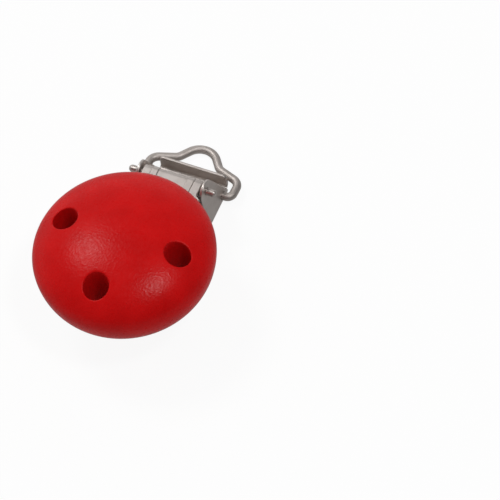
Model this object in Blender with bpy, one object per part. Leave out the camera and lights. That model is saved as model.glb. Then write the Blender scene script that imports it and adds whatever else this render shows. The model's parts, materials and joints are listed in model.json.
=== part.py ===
"""A round wooden soother clip: a lacquered wooden button on the lever of a nickel-plated strap clip.

Metres, +Z up. X runs along the hinge pin, +Y towards the wire loop. The clip lies closed on its base
plate, and the origin is on the table under the middle of its length.
"""

import math

import bmesh
import bpy
from mathutils import Matrix, Vector

# Wooden button
BUTTON_DIAMETER = 0.0290
BUTTON_DOME = 0.00645  # from the widest line up to the crown
BUTTON_SKIRT = 0.0054  # from the widest line down to the flat back
BUTTON_SKIRT_ROUND = 0.0036  # how far the skirt draws in on its way to the flat back
BUTTON_HINGE_GAP = 0.0034  # from the button's rim to the hinge pin's axis
VENT_DIAMETER = 0.0041
VENT_CIRCLE_DIAMETER = 0.01915
VENT_QUARTERS = (2, 3, 4)  # quarter turns from +X that have a vent; the clip fills the other one

# Nails that hold the button to the lever
NAIL_SHANK_DIAMETER = 0.0012
NAIL_DEPTH = 0.0060  # how far a nail goes into the wood
NAIL_HEAD_DIAMETER = 0.0030
NAIL_HEAD_HEIGHT = 0.0007
NAIL_TIP = 0.0012
FRONT_NAIL_OFFSET = -0.0003  # from the button's centre, along Y
REAR_NAIL_OFFSET = 0.0082

# Hinge pin
HINGE_HEIGHT = 0.00875  # the pin's axis above the table
PIN_DIAMETER = 0.0012
PIN_OVERHANG = 0.0017  # the rounded end outside each ear

# Lever plate: it steps up over the pin, hangs on it by two lugs, and ends in the cam
LEVER_THICKNESS = 0.0005
LEVER_WIDTH = 0.0102  # between the side plates
LEVER_PLATE_WIDTH = 0.0118  # in front of them
LEVER_SHOULDER_LENGTH = 0.0006  # over which it narrows
LEVER_EAR_GAP = 0.0001  # from an ear's round top to the narrow part's front end, along Y
LEVER_DROP = 0.00055  # the plate's middle plane below the pin's axis
LEVER_KINK = 0.0056  # where the plate turns up, in front of the pin
LEVER_STEP = 0.0037  # where it is level again, in front of the pin
LEVER_STEP_RADIUS = 0.0012
LEVER_REAR_RADIUS = 0.00075  # the bend behind the pin
LEVER_REAR_DROP = 0.0004  # where the rear wall turns in to the cam, below the pin's axis
LEVER_ROOM = 0.00005  # between the pin's hole and the plate's inner faces
LEVER_NOSE = 0.0037  # plate in front of the front nail
LEVER_CORNER_RADIUS = 0.0030
LEVER_SIDE_GAP = 0.00036  # from the lever's edge to the side plate, at the pin
LUG_RADIUS = 0.0013
LUG_INSET = 0.00005  # a lug's outer face from the plate's edge
CAM_DROP = 0.0029  # from the pin's axis down to the cam bead's centre
CAM_BEAD_DIAMETER = 0.0012
CAM_GAP = 0.00015  # left between the cam and the tongue
RIB_SPACING = 0.0062
RIB_WIDTH = 0.00107
RIB_HEIGHT = 0.00015
RIB_LEAD = 0.0005  # a rib's front end in front of the turn

# Base plate
BASE_THICKNESS = 0.0005
BASE_REACH = 0.0224  # from the pin's axis to the front of the toothed lip
BEND_RADIUS = 0.0003  # inside of the lip's and the side plates' bends
SIDE_FRONT = 0.0024  # foot of a side plate in front of the pin's axis
SIDE_LEAN = math.radians(3.5)  # the side plates lean in towards the lever
EAR_RADIUS = 0.0019  # a side plate's top, round the pin
LIP_HEIGHT = 0.0026
LIP_TEETH = 8
LIP_TOOTH_DEPTH = 0.0007
FLANGE_HEIGHT = 0.0030
FLANGE_BEND_RADIUS = 0.0005
FLANGE_CORNER_RADIUS = 0.0006
FLANGE_SIDE_GAP = 0.0002  # from the flange's bend to the side plates' rear feet
HOOK_SPACING = 0.0052  # two hooks, lanced from the floor, hold the tongue's tail
HOOK_WIDTH = 0.0016
HOOK_REACH = 0.0007  # how far a hook reaches over the tail
HOOK_GAP = 0.0002  # round the tail, so that it can swing
HOOK_BEND_RADIUS = 0.0002  # inside of a hook's bend
HOOK_WINDOW = 0.0019  # length of the hole that a hook leaves in the floor

# Spring tongue, the upper jaw
TONGUE_THICKNESS = 0.0004
TONGUE_INSET = 0.00025  # the tongue's edge inside the lever's edge
TONGUE_BACK_END = 0.0014  # where the flat back turns down, behind the pin's axis
TONGUE_TAIL_LENGTH = 0.0019
TONGUE_RISER_ANGLE = math.radians(70)
TONGUE_BEND_RADIUS = 0.0006  # inside of each bend

# Moulded gripping insert on the tongue's lip
INSERT_WALL = 0.0008
INSERT_END_WALL = 0.0004
INSERT_SOLE = 0.0011
INSERT_TEETH = 7
INSERT_TOOTH_DEPTH = 0.0005
INSERT_CORNER_ROUND = 0.00025
BITE_GAP = 0.00015  # between the closed insert and the base plate
JAW_GAP = 0.0005  # between the insert and the base plate's lip

# Wire loop for the strap, with its ends in holes of the side plates
WIRE_DIAMETER = 0.0012
WIRE_END_STICKOUT = 0.0003  # a wire end inside its side plate
LOOP_SETBACK = 0.0042  # the wire ends' axis behind the pin's axis
LOOP_HOLE_MARGIN = 0.0001  # from a side plate's bend up to the wire's hole
LOOP_FLANGE_DISTANCE = 0.0026  # from the wire ends' axis to the flange's inner face
LOOP_SIDE_GAP = 0.0009  # between a leg and its side plate
LOOP_CORNER_RADIUS = 0.0010
LOOP_SHOULDER_RADIUS = 0.0017
LOOP_SHOULDER_FALL = 0.00145  # the outer corners lie this much nearer to the hinge than the arch's feet
LOOP_FLANGE_GAP = 0.00114  # between the arch's feet and the rear flange
ARCH_HEIGHT = 0.0031
ARCH_RADIUS = 0.00305
ARCH_FOOT_RADIUS = 0.0018
ARCH_SIDE_ANGLE = math.radians(54)

# Clearances
SEAT_GAP = 0.0001  # between faces that rest on each other
RUNNING_GAP = 0.00008  # round a pin that turns
TABLE_GAP = 0.00005  # under the wire where it lies on the table

# Fineness of round forms
TURN_STEPS = 64
SMALL_TURN_STEPS = 24
ARC_STEP = math.radians(15)
FINE_ARC_STEP = math.radians(7.5)
WIRE_SIDES = 3  # bevel resolution of the wire
LONG_CUT = 0.0300  # cutters reach this far past what they cut
SHARP_ANGLE = math.radians(40)  # faces that meet at more than this keep a sharp edge
SAME_PLACE = 1e-7


# Sizes that follow from those above. Y is measured from the pin's axis
button_radius = BUTTON_DIAMETER / 2
button_y = -(button_radius + BUTTON_HINGE_GAP)
lever_top = HINGE_HEIGHT - LEVER_DROP + LEVER_THICKNESS / 2
button_back = lever_top + SEAT_GAP
button_middle = button_back + BUTTON_SKIRT
nail_ys = {"nail_front": button_y + FRONT_NAIL_OFFSET, "nail_rear": button_y + REAR_NAIL_OFFSET}
nail_hole_radius = NAIL_SHANK_DIAMETER / 2 + SEAT_GAP

pin_hole_radius = PIN_DIAMETER / 2 + RUNNING_GAP
lever_room = pin_hole_radius + LEVER_ROOM + LEVER_THICKNESS / 2
lever_nose_y = nail_ys["nail_front"] - LEVER_NOSE
lever_neck_y = -EAR_RADIUS - LEVER_EAR_GAP

base_middle = BASE_THICKNESS / 2
base_bend = BEND_RADIUS + BASE_THICKNESS / 2
side_bend_height = base_middle + base_bend * (1 + math.sin(SIDE_LEAN))
side_x_at_pin = LEVER_WIDTH / 2 + LEVER_SIDE_GAP + BASE_THICKNESS / 2
side_foot_x = side_x_at_pin + (HINGE_HEIGHT - side_bend_height) * math.tan(SIDE_LEAN)
floor_half = side_foot_x - base_bend * math.cos(SIDE_LEAN)
lip_inner_y = -BASE_REACH + BASE_THICKNESS

wire_hole_radius = WIRE_DIAMETER / 2 + RUNNING_GAP
loop_height = side_bend_height + LOOP_HOLE_MARGIN + wire_hole_radius
flange_bend = FLANGE_BEND_RADIUS + BASE_THICKNESS / 2
flange_inner_y = LOOP_SETBACK + LOOP_FLANGE_DISTANCE
flange_middle_y = flange_inner_y + BASE_THICKNESS / 2
flange_rear_y = flange_inner_y + BASE_THICKNESS
flange_foot_y = flange_middle_y - flange_bend
side_rear_y = flange_foot_y - FLANGE_SIDE_GAP

tongue_half = LEVER_WIDTH / 2 - TONGUE_INSET
tongue_top = HINGE_HEIGHT - CAM_DROP - CAM_BEAD_DIAMETER / 2 - CAM_GAP
tongue_middle = tongue_top - TONGUE_THICKNESS / 2
tongue_bend = TONGUE_BEND_RADIUS + TONGUE_THICKNESS / 2
tail_bottom = BASE_THICKNESS + SEAT_GAP
tail_middle = tail_bottom + TONGUE_THICKNESS / 2
knee_y = TONGUE_BACK_END + (tongue_middle - tail_middle) / math.tan(TONGUE_RISER_ANGLE)
tail_end_y = knee_y + TONGUE_TAIL_LENGTH
tongue_lip_y = lip_inner_y + JAW_GAP + INSERT_WALL + SEAT_GAP + TONGUE_THICKNESS / 2
insert_bottom = BASE_THICKNESS + BITE_GAP
insert_top = tongue_middle - tongue_bend - SEAT_GAP
insert_slot_bottom = insert_bottom + INSERT_SOLE
tongue_lip_end = insert_slot_bottom + SEAT_GAP
insert_depth = TONGUE_THICKNESS + 2 * (SEAT_GAP + INSERT_WALL)
insert_half = tongue_half + SEAT_GAP + INSERT_END_WALL
hook_middle_y = tail_end_y + HOOK_GAP + BASE_THICKNESS / 2
hook_height = tail_bottom + TONGUE_THICKNESS + HOOK_GAP + BASE_THICKNESS / 2

side_x_at_loop = side_foot_x - (loop_height - side_bend_height) * math.tan(SIDE_LEAN)
wire_end_x = side_x_at_loop - BASE_THICKNESS / 2 - WIRE_END_STICKOUT
leg_x = side_x_at_loop + BASE_THICKNESS / 2 + LOOP_SIDE_GAP + WIRE_DIAMETER / 2
arch_foot = flange_rear_y - LOOP_SETBACK + WIRE_DIAMETER / 2 + LOOP_FLANGE_GAP
loop_reach = arch_foot + ARCH_HEIGHT
loop_drop = loop_height - WIRE_DIAMETER / 2 - TABLE_GAP
loop_slope = math.asin(loop_drop / loop_reach)
loop_end_y = LOOP_SETBACK + loop_reach * math.cos(loop_slope) + WIRE_DIAMETER / 2

# The frame's origin is under the middle of the length, so the pin's axis lies behind it
hinge_y = -(button_y - button_radius + loop_end_y) / 2


def clear_scene():
    for obj in list(bpy.data.objects):
        bpy.data.objects.remove(obj, do_unlink=True)


def finish_material(name, colour, roughness, metallic):
    material = bpy.data.materials.new(name)
    material.use_nodes = True
    shader = material.node_tree.nodes["Principled BSDF"]
    shader.inputs["Base Color"].default_value = (*colour, 1.0)
    shader.inputs["Roughness"].default_value = roughness
    shader.inputs["Metallic"].default_value = metallic
    return material


def add_joint_empty(name, y, height):
    empty = bpy.data.objects.new(name, None)
    empty.empty_display_size = 0.005
    empty.location = (0, hinge_y + y, height)
    bpy.context.scene.collection.objects.link(empty)
    return empty


def add_object(name, data, parent, material=None):
    """An object whose points are measured from the pin's axis along Y and from the table along Z."""
    obj = bpy.data.objects.new(name, data)
    bpy.context.scene.collection.objects.link(obj)
    obj.parent = parent
    obj.location = Vector((0, hinge_y, 0)) - parent.location
    if material:
        data.materials.append(material)
    return obj


def mesh_of(name, bm):
    mesh = bpy.data.meshes.new(name)
    bm.to_mesh(mesh)
    bm.free()
    mesh.shade_smooth()
    mesh.set_sharp_from_angle(angle=SHARP_ANGLE)
    return mesh


def add_helper(name, bm, parent):
    """A shape that only cuts or joins another one."""
    helper = add_object(name, mesh_of(name, bm), parent)
    helper.hide_render = True
    helper.display_type = "WIRE"
    return helper


def combine(obj, helper, operation):
    modifier = obj.modifiers.new(helper.name, "BOOLEAN")
    modifier.object = helper
    modifier.operation = operation
    modifier.solver = "EXACT"


def give_thickness(obj, thickness):
    solidify = obj.modifiers.new("sheet", "SOLIDIFY")
    solidify.thickness = thickness
    solidify.offset = 0.0
    solidify.use_even_offset = True


def near(a, b):
    return abs(a - b) < SAME_PLACE


def arc(centre, radius, start, end, step=ARC_STEP):
    """Points of an arc, both ends included."""
    steps = max(2, math.ceil(abs(end - start) / step - 1e-6))
    angles = [start + (end - start) * i / steps for i in range(steps + 1)]
    return [(centre[0] + radius * math.cos(a), centre[1] + radius * math.sin(a)) for a in angles]


def rounded_path(corners):
    """A path through (u, v, radius) corners, each of them rounded to its radius."""
    points = [Vector(corners[0][:2])]
    for before, corner, after in zip(corners, corners[1:], corners[2:]):
        here = Vector(corner[:2])
        back = (Vector(before[:2]) - here).normalized()
        onward = (Vector(after[:2]) - here).normalized()
        half_angle = back.angle(onward) / 2
        reach = corner[2] / math.tan(half_angle)
        centre = here + (back + onward).normalized() * (corner[2] / math.sin(half_angle))
        first = here + back * reach - centre
        last = here + onward * reach - centre
        start = math.atan2(first.y, first.x)
        turn = math.remainder(math.atan2(last.y, last.x) - start, math.tau)
        points += [Vector(p) for p in arc(centre, corner[2], start, start + turn)]
    points.append(Vector(corners[-1][:2]))
    return points


def offset_path(path, distance):
    """The path moved to its left by a distance."""
    moved = []
    for i, point in enumerate(path):
        along = (path[min(i + 1, len(path) - 1)] - path[max(i - 1, 0)]).normalized()
        moved.append(point + Vector((-along.y, along.x)) * distance)
    return moved


def strip_mesh(path, half_widths, middle_x=0.0):
    """A strip in X along a (y, z) path: one half width for each point of the path."""
    bm = bmesh.new()
    rows = []
    for (y, z), half in zip(path, half_widths):
        rows.append([bm.verts.new((middle_x + side * half, y, z)) for side in (-1, 1)])
    for (a, b), (c, d) in zip(rows, rows[1:]):
        bm.faces.new((a, b, d, c))
    bmesh.ops.recalc_face_normals(bm, faces=bm.faces)
    return bm


def turned_mesh(profile, steps):
    """A solid turned about Z from a (radius, z) profile that starts and ends on the axis."""
    bm = bmesh.new()
    verts = [bm.verts.new((radius, 0, z)) for radius, z in profile]
    edges = [bm.edges.new(pair) for pair in zip(verts, verts[1:])]
    bmesh.ops.spin(
        bm,
        geom=verts + edges,
        cent=(0, 0, 0),
        axis=(0, 0, 1),
        angle=math.tau,
        steps=steps,
        use_merge=True,
    )
    bmesh.ops.remove_doubles(bm, verts=bm.verts, dist=SAME_PLACE)
    bmesh.ops.recalc_face_normals(bm, faces=bm.faces)
    return bm


def add_box(bm, low, high):
    size = Vector(high) - Vector(low)
    middle = (Vector(high) + Vector(low)) / 2
    place = Matrix.Translation(middle) @ Matrix.Diagonal((*size, 1.0))
    bmesh.ops.create_cube(bm, size=1.0, matrix=place)


def add_rod(bm, radius, length, middle, along="Z", steps=SMALL_TURN_STEPS):
    turn = Matrix.Rotation(math.pi / 2, 4, "Y") if along == "X" else Matrix.Identity(4)
    bmesh.ops.create_cone(
        bm,
        cap_ends=True,
        segments=steps,
        radius1=radius,
        radius2=radius,
        depth=length,
        matrix=Matrix.Translation(middle) @ turn,
    )


def add_prism(bm, outline, low_x, high_x):
    """A plate between two X values, from a (y, z) outline that runs anticlockwise seen from +X."""
    rows = [[bm.verts.new((x, y, z)) for y, z in outline] for x in (low_x, high_x)]
    bm.faces.new(reversed(rows[0]))
    bm.faces.new(rows[1])
    for i in range(len(outline)):
        bm.faces.new((rows[0][i - 1], rows[0][i], rows[1][i], rows[1][i - 1]))


def make_button(parent, material):
    """The turned and lacquered wood: a low dome, a rounded skirt, a flat back and the vents."""
    crown = arc((0, 0), 1, math.pi / 2, 0, FINE_ARC_STEP)
    skirt = arc((0, 0), 1, 0, -math.pi / 2, FINE_ARC_STEP)
    back_radius = button_radius - BUTTON_SKIRT_ROUND
    profile = [(button_radius * u, BUTTON_DOME * v) for u, v in crown]
    profile[0] = (0.0, BUTTON_DOME)
    profile += [(back_radius + BUTTON_SKIRT_ROUND * u, BUTTON_SKIRT * v) for u, v in skirt[1:]]
    profile.append((0.0, -BUTTON_SKIRT))
    bm = turned_mesh(profile, TURN_STEPS)
    bmesh.ops.translate(bm, verts=bm.verts, vec=(0, button_y, button_middle))
    button = add_object("wood_button", mesh_of("wood_button", bm), parent, material)

    vents = bmesh.new()
    for quarter in VENT_QUARTERS:
        turn = quarter * math.pi / 2
        x = VENT_CIRCLE_DIAMETER / 2 * math.cos(turn)
        y = VENT_CIRCLE_DIAMETER / 2 * math.sin(turn)
        add_rod(vents, VENT_DIAMETER / 2, LONG_CUT, (x, button_y + y, button_middle))
    combine(button, add_helper("vent_cutter", vents, parent), "DIFFERENCE")

    pilots = bmesh.new()
    pilot_depth = NAIL_DEPTH + SEAT_GAP
    for y in nail_ys.values():
        middle = (0, y, button_back + pilot_depth / 2 - SEAT_GAP)
        add_rod(pilots, nail_hole_radius, pilot_depth + 2 * SEAT_GAP, middle)
    combine(button, add_helper("pilot_cutter", pilots, parent), "DIFFERENCE")


def make_lever(parent, material):
    """The stamped plate under the button: it steps up over the pin and turns down to the cam."""
    plate = -LEVER_DROP
    corners = [
        (lever_nose_y, plate, 0),
        (-LEVER_KINK, plate, LEVER_STEP_RADIUS),
        (-LEVER_STEP, lever_room, LEVER_STEP_RADIUS),
        (lever_room, lever_room, LEVER_REAR_RADIUS),
        (lever_room, -LEVER_REAR_DROP, LEVER_REAR_RADIUS),
        (0, -CAM_DROP, 0),
    ]
    shoulder = (lever_neck_y - LEVER_SHOULDER_LENGTH, lever_room, 0)
    steps = rounded_path([*corners[:3], shoulder])[1:]
    neck = rounded_path([(lever_neck_y, lever_room, 0), *corners[3:]])
    corner = (lever_nose_y + LEVER_CORNER_RADIUS, LEVER_PLATE_WIDTH / 2 - LEVER_CORNER_RADIUS)
    nose = arc(corner, LEVER_CORNER_RADIUS, math.pi, math.pi / 2)
    path = [Vector((y, plate)) for y, _ in nose] + steps + neck
    halves = [half for _, half in nose] + [LEVER_PLATE_WIDTH / 2] * len(steps)
    halves += [LEVER_WIDTH / 2] * len(neck)
    bm = strip_mesh(path, halves)
    bmesh.ops.translate(bm, verts=bm.verts, vec=(0, 0, HINGE_HEIGHT))
    lever = add_object("lever_plate", mesh_of("lever_plate", bm), parent, material)
    give_thickness(lever, LEVER_THICKNESS)

    bead = bmesh.new()
    add_rod(bead, CAM_BEAD_DIAMETER / 2, LEVER_WIDTH, (0, 0, HINGE_HEIGHT - CAM_DROP), "X")
    combine(lever, add_helper("cam_bead", bead, parent), "UNION")

    # A lug inside each edge turns on the pin
    lugs = bmesh.new()
    lug_end = math.tau - math.acos(lever_room / LUG_RADIUS)
    lug = arc((0, 0), LUG_RADIUS, math.pi, lug_end)
    rear_bend = lever_room - LEVER_REAR_RADIUS
    lug += arc((rear_bend, rear_bend), LEVER_REAR_RADIUS, 0, math.pi / 2)
    lug.append((-LUG_RADIUS, lever_room))
    outer = LEVER_WIDTH / 2 - LUG_INSET
    inner = outer - LEVER_THICKNESS
    add_prism(lugs, lug, inner, outer)
    add_prism(lugs, lug, -outer, -inner)
    bmesh.ops.translate(lugs, verts=lugs.verts, vec=(0, 0, HINGE_HEIGHT))
    combine(lever, add_helper("pin_lugs", lugs, parent), "UNION")

    # The two ribs are pressed out over the step and the bend behind the pin
    ridge = rounded_path([(-LEVER_KINK - RIB_LEAD, plate, 0), *corners[1:4], (lever_room, 0, 0)])
    band = offset_path(ridge, LEVER_THICKNESS / 2 + RIB_HEIGHT)
    band = offset_path(ridge, LEVER_THICKNESS / 4) + band[::-1]
    ribs = bmesh.new()
    for side in (-1, 1):
        x = side * RIB_SPACING / 2
        add_prism(ribs, band, x - RIB_WIDTH / 2, x + RIB_WIDTH / 2)
    bmesh.ops.translate(ribs, verts=ribs.verts, vec=(0, 0, HINGE_HEIGHT))
    combine(lever, add_helper("pressed_ribs", ribs, parent), "UNION")

    holes = bmesh.new()
    for y in nail_ys.values():
        add_rod(holes, nail_hole_radius, LONG_CUT, (0, y, HINGE_HEIGHT))
    add_rod(holes, pin_hole_radius, LONG_CUT, (0, 0, HINGE_HEIGHT), "X")
    combine(lever, add_helper("lever_hole_cutter", holes, parent), "DIFFERENCE")


def make_nails(parent, material):
    """Round-headed nails, driven up through the lever into the wood."""
    head_top = lever_top - LEVER_THICKNESS - SEAT_GAP
    tip = button_back + NAIL_DEPTH
    bulge = arc((0, 0), 1, -math.pi / 2, 0)
    head = [(NAIL_HEAD_DIAMETER / 2 * u, head_top + NAIL_HEAD_HEIGHT * v) for u, v in bulge]
    head[0] = (0.0, head_top - NAIL_HEAD_HEIGHT)
    shank = NAIL_SHANK_DIAMETER / 2
    profile = head + [(shank, head_top), (shank, tip - NAIL_TIP), (0.0, tip)]
    for name, y in nail_ys.items():
        bm = turned_mesh(profile, SMALL_TURN_STEPS)
        bmesh.ops.translate(bm, verts=bm.verts, vec=(0, y, 0))
        add_object(name, mesh_of(name, bm), parent, material)


def make_pin(parent, material):
    """The hinge pin, held in the side plates, with a rounded end outside each."""
    radius = PIN_DIAMETER / 2
    shoulder = side_x_at_pin + BASE_THICKNESS / 2 + PIN_OVERHANG - radius
    end = arc((0, shoulder), radius, math.pi / 2, 0)
    profile = [(0.0, end[0][1])] + end[1:]
    profile += [(r, -z) for r, z in reversed(profile)]
    bm = turned_mesh(profile, SMALL_TURN_STEPS)
    place = Matrix.Translation((0, 0, HINGE_HEIGHT)) @ Matrix.Rotation(math.pi / 2, 4, "Y")
    bmesh.ops.transform(bm, verts=bm.verts, matrix=place)
    add_object("hinge_pin", mesh_of("hinge_pin", bm), parent, material)


def fold(bm, edges, centre, axis, angle):
    """Bends the sheet on from some of its edges, and returns the edges at the bend's end."""
    steps = math.ceil(abs(angle) / ARC_STEP)
    verts = list({v for e in edges for v in e.verts})
    done = bmesh.ops.spin(bm, geom=verts + edges, cent=centre, axis=axis, angle=angle, steps=steps)
    return [g for g in done["geom_last"] if isinstance(g, bmesh.types.BMEdge)]


def raise_edges(bm, edges, height):
    """Carries the sheet straight up from some of its edges to a height."""
    done = bmesh.ops.extrude_edge_only(bm, edges=edges)["geom"]
    for vert in done:
        if isinstance(vert, bmesh.types.BMVert):
            vert.co.z = height
    return [g for g in done if isinstance(g, bmesh.types.BMEdge)]


def make_base(parent, material):
    """One stamping: the floor, the toothed lip, two side plates, the rear flange and two hooks."""
    bm = bmesh.new()
    lip_y = -BASE_REACH + BASE_THICKNESS / 2 + base_bend
    right = [(floor_half, -SIDE_FRONT), (floor_half, side_rear_y), (floor_half, flange_foot_y)]
    points = 2 * LIP_TEETH + 1
    front = [(-floor_half + 2 * floor_half * i / (points - 1), lip_y) for i in range(points)]
    outline = front + right + [(-x, y) for x, y in reversed(right)]
    verts = [bm.verts.new((x, y, base_middle)) for x, y in outline]
    bm.faces.new(verts)

    lip_edges = [bm.edges.get(pair) for pair in zip(verts[:points], verts[1:points])]
    bend_centre = base_middle + base_bend
    bent = fold(bm, lip_edges, (0, lip_y, bend_centre), (1, 0, 0), -math.pi / 2)
    top = raise_edges(bm, bent, LIP_HEIGHT)
    along_lip = sorted({v for e in top for v in e.verts}, key=lambda v: v.co.x)
    for vert in along_lip[::2]:
        vert.co.z -= LIP_TOOTH_DEPTH

    rear = [v for v in verts if near(v.co.y, flange_foot_y)]
    flange_centre = (0, flange_foot_y, base_middle + flange_bend)
    bent = fold(bm, [bm.edges.get(rear)], flange_centre, (1, 0, 0), math.pi / 2)
    foot = sorted(bent[0].verts, key=lambda v: v.co.x)
    corner = (floor_half - FLANGE_CORNER_RADIUS, FLANGE_HEIGHT - FLANGE_CORNER_RADIUS)
    shoulder = arc(corner, FLANGE_CORNER_RADIUS, 0, math.pi / 2)
    rim = shoulder + [(-x, z) for x, z in reversed(shoulder)]
    bm.faces.new(foot + [bm.verts.new((x, flange_middle_y, z)) for x, z in rim])

    # Each side plate tapers from its foot to a round top: both its edges touch that round
    pin = Vector((0, HINGE_HEIGHT))
    edge_ends = []
    for foot_y, turn in ((side_rear_y, 1), (-SIDE_FRONT, -1)):
        reach = pin - Vector((foot_y, side_bend_height))
        edge = math.atan2(reach.y, reach.x) - turn * math.asin(EAR_RADIUS / reach.length)
        edge_ends.append(edge - turn * math.pi / 2)
    round_top = arc(pin, EAR_RADIUS, edge_ends[0], edge_ends[1])
    for side in (-1, 1):
        ends = (-SIDE_FRONT, side_rear_y)
        foot = [v for v in verts if near(v.co.x, side * floor_half) and any(near(v.co.y, y) for y in ends)]
        side_bend = (side * floor_half, 0, bend_centre)
        bent = fold(bm, [bm.edges.get(foot)], side_bend, (0, -side, 0), math.pi / 2 + SIDE_LEAN)
        front_foot, rear_foot = sorted(bent[0].verts, key=lambda v: v.co.y)
        cap = []
        for y, z in round_top:
            x = side_foot_x - (z - side_bend_height) * math.tan(SIDE_LEAN)
            cap.append(bm.verts.new((side * x, y, z)))
        bm.faces.new([front_foot, rear_foot, *cap])

    bmesh.ops.recalc_face_normals(bm, faces=bm.faces)
    base = add_object("base_plate", mesh_of("base_plate", bm), parent, material)
    give_thickness(base, BASE_THICKNESS)

    holes = bmesh.new()
    add_rod(holes, pin_hole_radius, LONG_CUT, (0, 0, HINGE_HEIGHT), "X")
    add_rod(holes, wire_hole_radius, LONG_CUT, (0, LOOP_SETBACK, loop_height), "X")
    combine(base, add_helper("side_hole_cutter", holes, parent), "DIFFERENCE")

    windows = bmesh.new()
    hooks = bmesh.new()
    hook_corner = HOOK_BEND_RADIUS + BASE_THICKNESS / 2
    hook = rounded_path(
        [
            (hook_middle_y, base_middle, 0),
            (hook_middle_y, hook_height, hook_corner),
            (tail_end_y - HOOK_REACH, hook_height, 0),
        ]
    )
    band = offset_path(hook, -BASE_THICKNESS / 2) + offset_path(hook, BASE_THICKNESS / 2)[::-1]
    for side in (-1, 1):
        x = side * HOOK_SPACING / 2
        half = HOOK_WIDTH / 2
        add_prism(hooks, band, x - half, x + half)
        low = (x - half - SEAT_GAP, hook_middle_y - HOOK_WINDOW, -SEAT_GAP)
        add_box(windows, low, (x + half + SEAT_GAP, hook_middle_y - SEAT_GAP, BASE_THICKNESS + SEAT_GAP))
    combine(base, add_helper("hook_window_cutter", windows, parent), "DIFFERENCE")
    combine(base, add_helper("tail_hooks", hooks, parent), "UNION")


def make_tongue(parent, material):
    """The upper jaw: a spring leaf, hooked to the floor by its tail, that the cam presses down."""
    path = rounded_path(
        [
            (tongue_lip_y, tongue_lip_end, 0),
            (tongue_lip_y, tongue_middle, tongue_bend),
            (TONGUE_BACK_END, tongue_middle, tongue_bend),
            (knee_y, tail_middle, tongue_bend),
            (tail_end_y, tail_middle, 0),
        ]
    )
    bm = strip_mesh(path, [tongue_half] * len(path))
    tongue = add_object("spring_tongue", mesh_of("spring_tongue", bm), parent, material)
    give_thickness(tongue, TONGUE_THICKNESS)


def make_insert(parent, material):
    """The moulded gripper pushed on to the tongue's lip: a slotted bar with a toothed sole."""
    pitch = 2 * insert_half / INSERT_TEETH
    sole = [(-insert_half, insert_bottom)]
    for i in range(INSERT_TEETH):
        if i:
            sole.append((-insert_half + i * pitch, insert_bottom + INSERT_TOOTH_DEPTH))
        sole.append((-insert_half + (i + 0.25) * pitch, insert_bottom))
        sole.append((-insert_half + (i + 0.75) * pitch, insert_bottom))
    sole.append((insert_half, insert_bottom))
    outline = sole + [(insert_half, insert_top), (-insert_half, insert_top)]
    bm = bmesh.new()
    front = tongue_lip_y - insert_depth / 2
    face = bm.faces.new([bm.verts.new((x, front, z)) for x, z in outline])
    far = bmesh.ops.extrude_face_region(bm, geom=[face])["geom"]
    far_verts = [g for g in far if isinstance(g, bmesh.types.BMVert)]
    bmesh.ops.translate(bm, verts=far_verts, vec=(0, insert_depth, 0))
    bmesh.ops.recalc_face_normals(bm, faces=bm.faces)
    top_edges = [e for e in bm.edges if all(near(v.co.z, insert_top) for v in e.verts)]
    bmesh.ops.bevel(
        bm,
        geom=top_edges,
        offset=INSERT_CORNER_ROUND,
        segments=2,
        profile=0.5,
        affect="EDGES",
    )
    insert = add_object("jaw_insert", mesh_of("jaw_insert", bm), parent, material)

    slot = bmesh.new()
    half = TONGUE_THICKNESS / 2 + SEAT_GAP
    low = (-tongue_half - SEAT_GAP, tongue_lip_y - half, insert_slot_bottom)
    high = (tongue_half + SEAT_GAP, tongue_lip_y + half, insert_top + LONG_CUT)
    add_box(slot, low, high)
    combine(insert, add_helper("insert_slot_cutter", slot, parent), "DIFFERENCE")


def make_loop(parent, material):
    """The bent wire: ends in the side plates, rounded shoulders, and an arch for the strap."""
    apex = loop_reach - ARCH_RADIUS + ARCH_RADIUS / math.cos(ARCH_SIDE_ANGLE)
    foot_x = (apex - arch_foot) / math.tan(ARCH_SIDE_ANGLE)
    half = [
        (wire_end_x, 0, 0),
        (leg_x, 0, LOOP_CORNER_RADIUS),
        (leg_x, arch_foot - LOOP_SHOULDER_FALL, LOOP_SHOULDER_RADIUS),
        (foot_x, arch_foot, ARCH_FOOT_RADIUS),
    ]
    corners = half + [(0, apex, ARCH_RADIUS)] + [(-x, s, radius) for x, s, radius in reversed(half)]
    path = rounded_path(corners)
    curve = bpy.data.curves.new("wire_loop", "CURVE")
    curve.dimensions = "3D"
    curve.bevel_depth = WIRE_DIAMETER / 2
    curve.bevel_resolution = WIRE_SIDES
    curve.use_fill_caps = True
    spline = curve.splines.new("POLY")
    spline.points.add(len(path) - 1)
    tilt = Matrix.Translation((0, LOOP_SETBACK, loop_height)) @ Matrix.Rotation(-loop_slope, 4, "X")
    for point, (x, reach) in zip(spline.points, path):
        point.co = (*(tilt @ Vector((x, reach, 0))), 1.0)
    add_object("wire_loop", curve, parent, material)


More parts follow.
